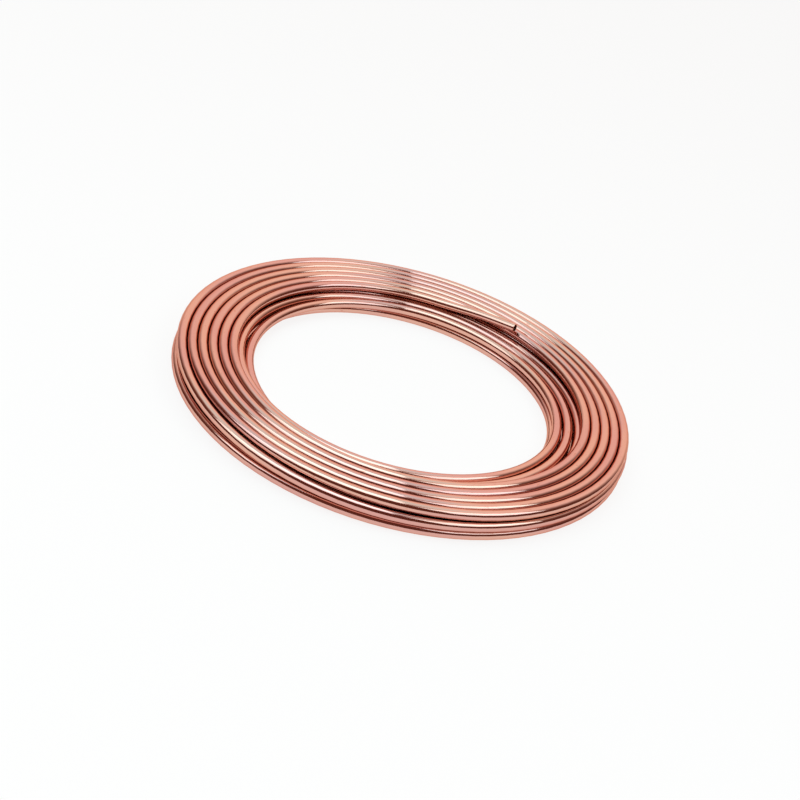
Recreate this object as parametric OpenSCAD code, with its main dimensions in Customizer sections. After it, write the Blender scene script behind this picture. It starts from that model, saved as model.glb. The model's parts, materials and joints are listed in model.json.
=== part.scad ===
// Coil of soft copper tube, lying flat: three rows of turns and one free end that has sprung up.
// Sizes are in millimetres. The coil's axis is Z and it rests on z = 0.

/* [Tube] */
// Outside diameter of the tube
tube_od = 10; // [6:0.5:22]
// Thickness of the tube's wall
tube_wall = 0.7; // [0.5:0.1:1.5]

/* [Coil] */
// Clear diameter inside the coil
coil_inside_d = 304; // [200:1:500]
// Gap between neighbouring turns of a row
turn_gap = 0.5; // [0.1:0.1:1.5]
// Turns in the bottom row; the middle row has one turn fewer
bottom_turns = 8; // [7:1:12]
// Turns in the top row, which covers only the outer part of the middle row
top_turns = 5; // [2:1:5]
// How much further in each row's outside stands than that of the row below
row_step = 2.5; // [1:0.5:4.5]

/* [Free end] */
// Where the tube ends, in degrees round the coil from +X
end_angle = 58; // [0:1:360]
// Arc over which the free end rises out of the coil, in degrees
rise_arc = 20; // [18:1:40]
// Slope of the free end's arc, in degrees
rise_slope = 7.5; // [6:0.5:10]
// How far inside the top row's first turn the free end lies
end_inset = 9.5; // [8:0.5:12]
// Length of the straight end
end_length = 28; // [15:1:50]
// How deep the open bore runs into the straight end
bore_depth = 25; // [5:1:50]

/* [Hidden] */
$fn = 96;
pitch = tube_od + turn_gap;
tube_r = tube_od / 2;
bore_d = tube_od - 2 * tube_wall;

// Heights of the three rows, each lying on the row below
row_z = [tube_r, tube_r + tube_od, tube_r + 2 * tube_od];

// Radius of the first and last turn of each row
middle_turns = bottom_turns - 1;
bottom_first = coil_inside_d / 2 + tube_r;
bottom_last = bottom_first + (bottom_turns - 1) * pitch;
middle_last = bottom_last - row_step;
middle_first = middle_last - (middle_turns - 1) * pitch;
top_last = middle_last - row_step;
top_first = top_last - (top_turns - 1) * pitch;

// The last turn of the middle row that the top row leaves in sight
middle_seen = middle_first + floor((top_first - middle_first) / pitch) * pitch;

// The core closes the grooves between turns a little above the turns' middles
groove = 0.15 * tube_od;

// The free end's arc starts buried in the coil and ends where the straight end begins
tail_r = top_first - end_inset;
arc_end = end_angle + atan(end_length / tail_r);
lift_off = arc_end + rise_arc;
buried_arc = 40;

// How far the bore's cut runs out past the tube's end
cut_past = 0.1 * tube_od;

// One row of turns as seen in the coil's section
module row_section(first_r, turns, z) {
    for (i = [0 : turns - 1])
        translate([first_r + i * pitch, z])
            circle(r = tube_r);
}

// The inside of the coil's section, up to the floors of the grooves
module core_section() {
    polygon([
        [bottom_first, row_z[0] - groove],
        [bottom_last + groove, row_z[0] - groove],
        [middle_last + groove, row_z[1]],
        [top_last + groove, row_z[2] + groove],
        [top_first, row_z[2] + groove],
        [top_first, row_z[2]],
        [middle_seen, row_z[1] + groove],
        [middle_first, row_z[1] + groove],
        [middle_first, row_z[1]],
        [bottom_first, row_z[0] + groove]
    ]);
}

// All the turns, as one turned solid
module turns() {
    rotate_extrude() {
        row_section(bottom_first, bottom_turns, row_z[0]);
        row_section(middle_first, middle_turns, row_z[1]);
        row_section(top_first, top_turns, row_z[2]);
        core_section();
    }
}

// Places its children in the free end's tilted plane, with the lift-off point on +X
module tail_plane() {
    translate([0, 0, row_z[2]])
        rotate([0, 0, lift_off])
            rotate([-rise_slope, 0, 0])
                children();
}

// Places its children on the tube's end face, with Z pointing out of the tube
module tube_end() {
    tail_plane()
        rotate([0, 0, -rise_arc])
            translate([tail_r, -end_length, 0])
                rotate([90, 0, 0])
                    children();
}

// The free end: an arc that climbs out of the coil, then a straight end
module tail() {
    tail_plane()
        rotate([0, 0, -rise_arc])
            rotate_extrude(angle = rise_arc + buried_arc)
                translate([tail_r, 0])
                    circle(r = tube_r);
    tube_end()
        translate([0, 0, -end_length])
            cylinder(r = tube_r, h = end_length);
}

module copper_tube() {
    color("#D99A80")
        difference() {
            union() {
                turns();
                tail();
            }
            tube_end()
                translate([0, 0, -bore_depth])
                    cylinder(d = bore_d, h = bore_depth + cut_past);
        }
}

copper_tube();
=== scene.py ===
"""Coil of soft copper tube, lying flat on a pale studio floor.

One unbroken tube is wound in three rows, and its free end has sprung up above the top turns.
The tube's line is worked out from a winding rule, and Geometry Nodes sweep the tube's wall
along it.
"""
import json
import math

import bpy
from mathutils import Matrix, Vector


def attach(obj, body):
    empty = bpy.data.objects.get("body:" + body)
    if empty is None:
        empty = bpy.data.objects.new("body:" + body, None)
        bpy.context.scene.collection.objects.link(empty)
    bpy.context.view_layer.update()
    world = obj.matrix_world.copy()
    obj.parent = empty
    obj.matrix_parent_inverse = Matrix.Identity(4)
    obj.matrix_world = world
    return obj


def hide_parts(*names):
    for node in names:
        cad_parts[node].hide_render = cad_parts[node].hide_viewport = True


MM = 0.001

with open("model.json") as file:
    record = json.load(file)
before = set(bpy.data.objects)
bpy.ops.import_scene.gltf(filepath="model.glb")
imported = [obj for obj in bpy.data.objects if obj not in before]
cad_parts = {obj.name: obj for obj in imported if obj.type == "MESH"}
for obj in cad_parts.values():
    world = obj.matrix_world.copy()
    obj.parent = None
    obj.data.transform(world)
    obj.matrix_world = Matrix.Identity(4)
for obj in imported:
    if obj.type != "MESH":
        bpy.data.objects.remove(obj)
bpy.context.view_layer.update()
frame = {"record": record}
free_end = frame["record"]["mounts"][0]

# ---------------------------------------------------------------- the tube, in millimetres

TUBE_R = free_end["dims"]["r_mm"]
TUBE_WALL = 0.7
STRAIGHT_END = free_end["dims"]["length_mm"]

# The cutter's wheel rolls the tube's edge in a little: distance from the cut, and width left there
ROLLED_EDGE = ((0.0, 0.93), (0.15, 0.965), (0.4, 0.985), (0.9, 0.997), (1.6, 1.0))

# Mesh of the tube: degrees of winding between rings, sides of the rings, the distance within
# which points are welded, and the angle from which an edge stays sharp
RING_STEP = 4
SIDES_OUTSIDE = 24
SIDES_IN_BORE = 12
WELD = 0.01
SHARP_EDGE = math.radians(40)

# ---------------------------------------------------------------- winding, in millimetres and degrees
# Winding angles run clockwise seen from above, start at +X, and count on from turn to turn. The
# tube starts at the back of the bottom row, winds in to the coil's inside, winds out again in the
# middle row, and winds in once more in the top row.

TUBE_START = -2600
INNER_BEND = 173
OUTER_BEND = 2606
LIFT_OFF = 4592

INNER_R = 153
OUTER_R = 229.2
INNER_ROUNDING = 29
OUTER_ROUNDING = 16
BOTTOM_PITCH = 10.07
MIDDLE_ARC = OUTER_BEND - INNER_BEND - INNER_ROUNDING - OUTER_ROUNDING
MIDDLE_PITCH = 360 * (OUTER_R - INNER_R) / MIDDLE_ARC
TOP_PITCH = 10.02

# Where the tube starts to climb to the next row, the arc it takes, and how much higher that row is
INSIDE_CLIMB, INSIDE_CLIMB_ARC, MIDDLE_ROW_UP = 75, 203, 10.6
OUTSIDE_CLIMB, OUTSIDE_CLIMB_ARC, TOP_ROW_UP = 2598, 95, 10.48

# The lower rows lie a little off the top row's centre, and are a little longer from left to right
BOTTOM_SHIFT = (-5.2, 2.2)
MIDDLE_SHIFT = (-4.7, 3.2)
BOTTOM_OVAL = 1.6
MIDDLE_OVAL = 2.0


def ease(x):
    """Smooth step from 0 to 1."""
    x = min(max(x, 0.0), 1.0)
    return x * x * (3 - 2 * x)


def turns_past(degrees, rounding):
    """Turns wound on either side of a bend between two rows, with the bend itself rounded."""
    return (math.hypot(degrees, rounding) - rounding) / 360


def on_winding(angle):
    """The tube's middle line at a winding angle, in millimetres."""
    to_middle = ease((angle - INSIDE_CLIMB) / INSIDE_CLIMB_ARC)
    to_top = ease((angle - OUTSIDE_CLIMB) / OUTSIDE_CLIMB_ARC)
    from_inside = turns_past(angle - INNER_BEND, INNER_ROUNDING)
    from_outside = turns_past(angle - OUTER_BEND, OUTER_ROUNDING)
    if angle < INNER_BEND:
        radius = INNER_R + BOTTOM_PITCH * from_inside
    elif angle < OUTER_BEND:
        along = ease((angle - INNER_BEND) / (OUTER_BEND - INNER_BEND))
        radius = ((1 - along) * (INNER_R + MIDDLE_PITCH * from_inside)
                  + along * (OUTER_R - MIDDLE_PITCH * from_outside))
    else:
        radius = OUTER_R - TOP_PITCH * from_outside
    turned = math.radians(angle)
    bottom, middle = 1 - to_middle, to_middle - to_top
    radius += (BOTTOM_OVAL * bottom + MIDDLE_OVAL * middle) * math.cos(2 * turned)
    return Vector((
        radius * math.cos(turned) + BOTTOM_SHIFT[0] * bottom + MIDDLE_SHIFT[0] * middle,
        -radius * math.sin(turned) + BOTTOM_SHIFT[1] * bottom + MIDDLE_SHIFT[1] * middle,
        TUBE_R + MIDDLE_ROW_UP * to_middle + TOP_ROW_UP * to_top,
    ))


def tube_line():
    """Points of the tube's middle line in millimetres, and the tube's width at each."""
    line = []
    for i in range(int((LIFT_OFF - TUBE_START) / RING_STEP) + 1):
        line.append(on_winding(TUBE_START + i * RING_STEP))

    # The free end springs up in one even curve from the top row to the straight end that the
    # frame gives
    tip = Vector(free_end["pos_m"]) / MM
    end_way = Vector(free_end["axis"]).normalized()
    rest, bend_end = line[-1], tip - STRAIGHT_END * end_way
    reach = (bend_end - rest).length
    rest_way = (rest - line[-2]).normalized() * reach
    curve_steps = int(reach / (line[-1] - line[-2]).length)
    for i in range(1, curve_steps + 1):
        s = i / curve_steps
        line.append(rest * (2 * s**3 - 3 * s**2 + 1) + rest_way * (s**3 - 2 * s**2 + s)
                    + bend_end * (3 * s**2 - 2 * s**3) + end_way * reach * (s**3 - s**2))
    line.append((bend_end + tip) / 2)

    # Both ends were cut with a wheel cutter
    start_way = (line[0] - line[1]).normalized()
    edge_depth = ROLLED_EDGE[-1][0]
    start_cut = [(line[0] + (edge_depth - back) * start_way, width) for back, width in ROLLED_EDGE]
    free_cut = [(tip - back * end_way, width) for back, width in reversed(ROLLED_EDGE)]
    whole = start_cut[:-1] + [(p, 1.0) for p in line] + free_cut
    return [p for p, _ in whole], [width for _, width in whole]


# ---------------------------------------------------------------- objects and node trees


def linear(hex_colour):
    """An sRGB hex colour as a linear RGBA tuple."""
    parts = [int(hex_colour[i:i + 2], 16) / 255 for i in (1, 3, 5)]
    return tuple(p / 12.92 if p <= 0.04045 else ((p + 0.055) / 1.055) ** 2.4
                 for p in parts) + (1.0,)


def add_object(name, data):
    """Puts a mesh, a lamp or a lens into the scene."""
    made = bpy.data.objects.new(name, data)
    bpy.context.scene.collection.objects.link(made)
    return made


def facing(place, way, turn):
    """Stands a lamp or a camera at a place, facing a way and turned about its own axis."""
    return (Matrix.Translation(place)
            @ way.to_track_quat("-Z", "Y").to_matrix().to_4x4()
            @ Matrix.Rotation(turn, 4, "Z"))


def node(tree, kind, inputs=None, **settings):
    """Adds a node with its settings, and sets or links its inputs by name or number."""
    made = tree.nodes.new(kind)
    for name, value in settings.items():
        setattr(made, name, value)
    for key, value in (inputs or {}).items():
        if isinstance(value, bpy.types.NodeSocket):
            tree.links.new(value, made.inputs[key])
        else:
            made.inputs[key].default_value = value
    return made


def maths(tree, operation, *values):
    """One value worked out from others."""
    return node(tree, "ShaderNodeMath", dict(enumerate(values)), operation=operation).outputs[0]


def spread(tree, value, low, high, to_low=0.0, to_high=1.0):
    """A value between two levels, spread smoothly over another range."""
    return node(tree, "ShaderNodeMapRange",
                {"Value": value, "From Min": low, "From Max": high,
                 "To Min": to_low, "To Max": to_high},
                interpolation_type="SMOOTHSTEP").outputs[0]


def mix(tree, factor, first, second):
    """A blend of two colours."""
    return node(tree, "ShaderNodeMix", {"Factor": factor, "A": first, "B": second},
                data_type="RGBA").outputs["Result"]


# ---------------------------------------------------------------- looks of the copper

BRIGHT_COPPER = "#E2AE9B"
PINKER_COPPER = "#DAA399"
SCUFFED_COPPER = "#D4937F"
# Dark brown painted into the grooves where turns touch, as painted shade
GROOVE_SHADE_COPPER = "#642C20"
BORE_COPPER = "#C48D78"
CUT_COPPER = "#F4C6B2"
GRAZED_COPPER = "#E8BBAA"

# Marks on the tube: width across it and length along it in millimetres, and detail of the noise.
# Die lines are about 0.1 mm wide on the real tube, and drawn 0.9 mm wide here so that they show.
DIE_LINES = (0.9, 160, 2)
FURNACE_TINT = (14, 130, 2)
SCUFFS = (2.2, 9, 3)
NOISE_ROUGHNESS = 0.55
DIE_LINE_DEPTH = 0.012

# Levels of the noise between which each mark comes in
DIE_LINE_LEVELS = (0.3, 0.7)
TINT_LEVELS = (0.35, 0.65)
SCUFF_LEVELS = (0.66, 0.74)

# Painted shade in the grooves where turns touch: how far off the next turn may be, the levels of open
# space, and the rays that look for it
SHADE_REACH = 2.4
SHADE_LEVELS = (0.75, 0.3)
SHADE_RAYS = 8

# Depths, as parts of the wall, between which the bore's looks give way to the outside's
LOOKS_CHANGE = (0.6, 0.4)

# Roughness: across the die lines, what a scuff adds, and in the bore
POLISH = (0.07, 0.13)
SCUFF_ROUGHNESS = 0.16
BORE_ROUGHNESS = 0.32


def drawn_copper():
    """Bright drawn copper, annealed soft.

    The die leaves a clear mirror with faint lines along the tube, the furnace leaves it a little
    pinker in places, and handling leaves small dull scuffs. The bore is duller, and the wall
    shows raw where it was cut.
    """
    material = bpy.data.materials.new("Copper, bright drawn and annealed")
    material.use_nodes = True
    tree = material.node_tree
    shader = tree.nodes["Principled BSDF"]
    straight = node(tree, "ShaderNodeAttribute", attribute_name="straight tube").outputs["Vector"]

    def grain(across, along, detail):
        """Noise whose patches are so many millimetres wide across the tube and long along it."""
        size = (1 / (across * MM), 1 / (across * MM), 1 / (along * MM))
        stretched = node(tree, "ShaderNodeMapping", {"Vector": straight, "Scale": size})
        return node(tree, "ShaderNodeTexNoise",
                    {"Vector": stretched.outputs[0], "Scale": 1.0, "Detail": detail,
                     "Roughness": NOISE_ROUGHNESS}).outputs[0]

    die_lines = grain(*DIE_LINES)
    tint = spread(tree, grain(*FURNACE_TINT), *TINT_LEVELS)
    scuffs = spread(tree, grain(*SCUFFS), *SCUFF_LEVELS)
    cut = node(tree, "ShaderNodeAttribute", attribute_name="cut wall").outputs["Fac"]

    # The outside is told from the bore by the distance from the tube's middle line
    across = node(tree, "ShaderNodeVectorMath", {0: straight, 1: (1, 1, 0)},
                  operation="MULTIPLY").outputs[0]
    radius = node(tree, "ShaderNodeVectorMath", {0: across}, operation="LENGTH").outputs["Value"]
    outside = spread(tree, radius, *((TUBE_R - depth * TUBE_WALL) * MM for depth in LOOKS_CHANGE))

    # Shade is painted dark brown into the grooves where turns touch, from the ambient occlusion
    # there, but not in the bore
    groove = node(tree, "ShaderNodeAmbientOcclusion", {"Distance": SHADE_REACH * MM},
                  samples=SHADE_RAYS, only_local=True).outputs["AO"]
    painted_shade = maths(tree, "MULTIPLY", spread(tree, groove, *SHADE_LEVELS), outside)

    colour = mix(tree, tint, linear(BRIGHT_COPPER), linear(PINKER_COPPER))
    colour = mix(tree, scuffs, colour, linear(SCUFFED_COPPER))
    # Painted shade in the grooves where turns touch
    colour = mix(tree, painted_shade, colour, linear(GROOVE_SHADE_COPPER))
    colour = mix(tree, outside, linear(BORE_COPPER), colour)
    colour = mix(tree, cut, colour, linear(CUT_COPPER))
    tree.links.new(colour, shader.inputs["Base Color"])

    polish = spread(tree, die_lines, *DIE_LINE_LEVELS, *POLISH)
    dulled = maths(tree, "MULTIPLY_ADD", scuffs, SCUFF_ROUGHNESS, polish)
    in_bore = spread(tree, outside, 0, 1, BORE_ROUGHNESS, 0)
    tree.links.new(maths(tree, "MAXIMUM", dulled, in_bore), shader.inputs["Roughness"])

    relief = node(tree, "ShaderNodeBump",
                  {"Strength": 1.0, "Distance": DIE_LINE_DEPTH * MM, "Height": die_lines})
    tree.links.new(relief.outputs[0], shader.inputs["Normal"])
    shader.inputs["Metallic"].default_value = 1.0
    shader.inputs["Specular Tint"].default_value = linear(GRAZED_COPPER)
    return material


# ---------------------------------------------------------------- the wound tube


def tube_sweep():
    """The tree that sweeps the tube's wall along its line and closes both cut ends."""
    tree = bpy.data.node_groups.new("tube sweep", "GeometryNodeTree")
    for name, kind in (("Line", "NodeSocketGeometry"),
                       ("Outside radius", "NodeSocketFloat"),
                       ("Bore radius", "NodeSocketFloat"),
                       ("Sides outside", "NodeSocketInt"),
                       ("Sides in bore", "NodeSocketInt"),
                       ("Copper", "NodeSocketMaterial")):
        tree.interface.new_socket(name, in_out="INPUT", socket_type=kind)
    tree.interface.new_socket("Tube", in_out="OUTPUT", socket_type="NodeSocketGeometry")
    given = node(tree, "NodeGroupInput").outputs

    def carry(curve, kind, name, value):
        """A curve whose points keep a value, and that value."""
        carried = node(tree, "GeometryNodeCaptureAttribute", {"Geometry": curve}, domain="POINT")
        carried.capture_items.new(kind, name)
        tree.links.new(value, carried.inputs[name])
        return carried.outputs["Geometry"], carried.outputs[name]

    def store_straight(geometry, across, along):
        """Stores where each point lay in the straight tube: X and Y across it, Z along it."""
        upright = node(tree, "ShaderNodeCombineXYZ", {"Z": along}).outputs[0]
        straight = node(tree, "ShaderNodeVectorMath", {0: across, 1: upright}).outputs[0]
        return node(tree, "GeometryNodeStoreNamedAttribute",
                    {"Geometry": geometry, "Name": "straight tube", "Value": straight},
                    data_type="FLOAT_VECTOR", domain="POINT").outputs[0]

    def flip(mesh):
        """A mesh with its faces turned the other way."""
        return node(tree, "GeometryNodeFlipFaces", {"Mesh": mesh}).outputs[0]

    def join(parts):
        """Several geometries as one."""
        joined = node(tree, "GeometryNodeJoinGeometry")
        for part in parts:
            tree.links.new(part, joined.inputs[0])
        return joined.outputs[0]

    # The line becomes a curve that carries the tube's width and the distance from its start
    curve = node(tree, "GeometryNodeMeshToCurve", {"Mesh": given["Line"]}).outputs[0]
    curve = node(tree, "GeometryNodeSetCurveNormal", {"Curve": curve}, mode="Z_UP").outputs[0]
    width = node(tree, "GeometryNodeInputNamedAttribute", {"Name": "width"},
                 data_type="FLOAT").outputs["Attribute"]
    distance = node(tree, "GeometryNodeSplineParameter").outputs["Length"]
    curve, along = carry(curve, "FLOAT", "distance", distance)

    place = node(tree, "GeometryNodeInputPosition").outputs[0]
    walls, rings = [], []
    for radius, sides in (("Outside radius", "Sides outside"), ("Bore radius", "Sides in bore")):
        ring = node(tree, "GeometryNodeCurvePrimitiveCircle",
                    {"Resolution": given[sides], "Radius": given[radius]}).outputs["Curve"]
        profile, across = carry(ring, "VECTOR", "round", place)
        wall = node(tree, "GeometryNodeCurveToMesh",
                    {"Curve": curve, "Profile Curve": profile, "Scale": width}).outputs["Mesh"]
        rings.append(ring)
        walls.append(store_straight(wall, across, along))
    walls[1] = flip(walls[1])

    # A flat ring of wall closes each cut end
    cut = node(tree, "GeometryNodeFillCurve", {"Curve": join(rings)}, mode="TRIANGLES").outputs[0]
    way = node(tree, "GeometryNodeInputTangent").outputs[0]
    side = node(tree, "GeometryNodeInputNormal").outputs["Normal"]
    turned = node(tree, "FunctionNodeAxesToRotation",
                  {"Primary Axis": way, "Secondary Axis": side},
                  primary_axis="Z", secondary_axis="X").outputs[0]
    whole_length = node(tree, "GeometryNodeAttributeStatistic",
                        {"Geometry": curve, "Attribute": distance}).outputs["Max"]
    for first, last in ((1, 0), (0, 1)):
        ring = store_straight(cut, place, whole_length if last else 0.0)
        ring = node(tree, "GeometryNodeStoreNamedAttribute",
                    {"Geometry": ring, "Name": "cut wall", "Value": 1.0},
                    data_type="FLOAT", domain="FACE").outputs[0]
        at_end = node(tree, "GeometryNodeCurveEndpointSelection",
                      {"Start Size": first, "End Size": last}).outputs[0]
        placed = node(tree, "GeometryNodeInstanceOnPoints",
                      {"Points": curve, "Selection": at_end, "Instance": ring,
                       "Rotation": turned, "Scale": width}).outputs[0]
        end = node(tree, "GeometryNodeRealizeInstances", {"Geometry": placed}).outputs[0]
        walls.append(flip(end) if first else end)

    whole = node(tree, "GeometryNodeMergeByDistance",
                 {"Geometry": join(walls), "Distance": WELD * MM}).outputs[0]

    # Only the rims of the cut ends stay sharp
    bend = node(tree, "GeometryNodeInputMeshEdgeAngle").outputs["Unsigned Angle"]
    gentle = node(tree, "FunctionNodeCompare", {0: bend, 1: SHARP_EDGE},
                  data_type="FLOAT", operation="LESS_THAN").outputs[0]
    for domain, smooth in (("FACE", True), ("EDGE", gentle)):
        whole = node(tree, "GeometryNodeSetShadeSmooth",
                     {"Geometry": whole, "Shade Smooth": smooth}, domain=domain).outputs[0]
    whole = node(tree, "GeometryNodeRealizeInstances", {"Geometry": whole}).outputs[0]
    whole = node(tree, "GeometryNodeSetMaterial",
                 {"Geometry": whole, "Material": given["Copper"]}).outputs[0]
    node(tree, "NodeGroupOutput", {"Tube": whole})
    return tree


def wind_copper_tube(copper):
    """The whole tube as one plain mesh, with its place in its mesh."""
    points, widths = tube_line()
    line = bpy.data.meshes.new("tube line")
    line.from_pydata([p * MM for p in points], [(i, i + 1) for i in range(len(points) - 1)], [])
    line.attributes.new("width", "FLOAT", "POINT").data.foreach_set("value", widths)
    tube = add_object("copper_tube_wound", line)

    sweep = tube.modifiers.new("tube sweep", "NODES")
    sweep.node_group = tube_sweep()
    sizes = {"Outside radius": TUBE_R * MM, "Bore radius": (TUBE_R - TUBE_WALL) * MM,
             "Sides outside": SIDES_OUTSIDE, "Sides in bore": SIDES_IN_BORE, "Copper": copper}
    for socket in sweep.node_group.interface.items_tree:
        if socket.name in sizes:
            sweep[socket.identifier] = sizes[socket.name]

    swept = tube.evaluated_get(bpy.context.evaluated_depsgraph_get())
    tube.data = bpy.data.meshes.new_from_object(swept)
    tube.modifiers.clear()
    tube.data.name = tube.name
    return tube


copper_tube = wind_copper_tube(drawn_copper())
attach(copper_tube, "root")
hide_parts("copper_tube")

# ---------------------------------------------------------------- studio, in metres and degrees

FLOOR_R = 30.0
FLOOR_CORNER_STEP = 5
FLOOR_PAPER = "#FFF4ED"
FLOOR_ROUGHNESS = 0.9
FLOOR_GLOW = 0.85

WALL_DIM = "#5E372C"
WALL_PALE = "#F6EAE4"
WALL_GLOW = 1.2
CEILING = "#DAF8FF"
CEILING_WAY = (-0.207, 0.207, 0.956)
LAMP_COLOUR = (0.72, 1.0, 1.1)

# Parts of a direction of length 1 between which the walls turn from dim to pale, from the sides
# to the middle and from the front to the back, and between which the walls turn into the ceiling
PALE_MIDDLE = (0.92, 0.35)
PALE_BACK = (-0.5, 0.1)
CEILING_EDGE = (0.82, 0.92)


def studio_floor():
    """A plain white floor that keeps the shadow.

    Most of its white is its own glow, which only the camera and the copper see.
    """
    material = bpy.data.materials.new("Studio paper, matt white")
    material.use_nodes = True
    tree = material.node_tree
    paper = tree.nodes["Principled BSDF"]
    paper.inputs["Base Color"].default_value = linear(FLOOR_PAPER)
    paper.inputs["Roughness"].default_value = FLOOR_ROUGHNESS
    ray = node(tree, "ShaderNodeLightPath").outputs
    seen = maths(tree, "MAXIMUM", ray["Is Camera Ray"], ray["Is Glossy Ray"])
    seen = maths(tree, "MAXIMUM", seen, ray["Is Transmission Ray"])
    glow = maths(tree, "MULTIPLY", seen, FLOOR_GLOW)
    white = node(tree, "ShaderNodeEmission", {"Color": (1, 1, 1, 1), "Strength": 1.0})
    mixed = node(tree, "ShaderNodeMixShader", {0: glow, 1: paper.outputs[0], 2: white.outputs[0]})
    tree.links.new(mixed.outputs[0], tree.nodes["Material Output"].inputs["Surface"])

    mesh = bpy.data.meshes.new("studio_floor")
    angles = [math.radians(degrees) for degrees in range(0, 360, FLOOR_CORNER_STEP)]
    corners = [(FLOOR_R * math.cos(a), FLOOR_R * math.sin(a), 0) for a in angles]
    mesh.from_pydata(corners, [], [list(range(len(corners)))])
    mesh.materials.append(material)
    floor = add_object("studio_floor", mesh)


def studio_world():
    """A studio with a pale back and ceiling.

    Its sides and its front are dim, and draw the dark lines on the tube.
    """
    world = bpy.data.worlds.new("studio")
    world.use_nodes = True
    tree = world.node_tree
    way = node(tree, "ShaderNodeTexCoord").outputs["Generated"]
    part = node(tree, "ShaderNodeSeparateXYZ", {0: way}).outputs
    middle = spread(tree, maths(tree, "ABSOLUTE", part["X"]), *PALE_MIDDLE)
    back = spread(tree, part["Y"], *PALE_BACK)
    pale = maths(tree, "MULTIPLY", middle, back)
    walls = mix(tree, pale, linear(WALL_DIM), linear(WALL_PALE))
    upwards = node(tree, "ShaderNodeVectorMath", {0: way, 1: CEILING_WAY},
                   operation="DOT_PRODUCT").outputs["Value"]
    overhead = spread(tree, upwards, *CEILING_EDGE)
    room = mix(tree, overhead, walls, linear(CEILING))
    tree.links.new(room, tree.nodes["Background"].inputs["Color"])
    tree.nodes["Background"].inputs["Strength"].default_value = WALL_GLOW
    bpy.context.scene.world = world


def softbox(name, place, target, turn, size, power):
    """A daylight lamp behind a sheet of cloth, facing its target and turned about its own axis."""
    lamp = bpy.data.lights.new(name, "AREA")
    lamp.shape = "RECTANGLE"
    lamp.size, lamp.size_y = size
    lamp.energy = power
    lamp.color = LAMP_COLOUR
    box = add_object(name, lamp)
    box.matrix_world = facing(place, Vector(target) - Vector(place), math.radians(turn))
    box.visible_camera = False


studio_floor()
studio_world()
softbox("right softbox", place=(1.444, -0.738, 1.769), target=(0, 0, 0), turn=0,
        size=(1.85, 1.25), power=14.1)
softbox("overhead softbox", place=(-1.497, -0.804, 1.9), target=(-1.497, -0.804, 0), turn=11,
        size=(3.6, 1.55), power=29.9)

# ---------------------------------------------------------------- camera, matched to the photograph

CAMERA_ELEVATION = math.radians(30.71)
CAMERA_ROLL = math.radians(17.03)
CAMERA_DISTANCE = 1.5647
CAMERA_TARGET = Vector((-2.4, -1.1, -1.8)) * MM
CAMERA_REACH = 50
SENSOR_WIDTH_MM = 36
PHOTO_WIDTH_PX = 800
FOCAL_LENGTH_PX = 1564.7

lens = bpy.data.cameras.new("camera")
lens.sensor_fit = "HORIZONTAL"
lens.sensor_width = SENSOR_WIDTH_MM
lens.lens = SENSOR_WIDTH_MM * FOCAL_LENGTH_PX / PHOTO_WIDTH_PX
lens.clip_end = CAMERA_REACH
camera = add_object("camera", lens)
away = Vector((0, -math.cos(CAMERA_ELEVATION), math.sin(CAMERA_ELEVATION)))
camera.matrix_world = facing(CAMERA_TARGET + CAMERA_DISTANCE * away, -away, CAMERA_ROLL)
bpy.context.scene.camera = camera
bpy.context.scene.view_settings.view_transform = "Standard"
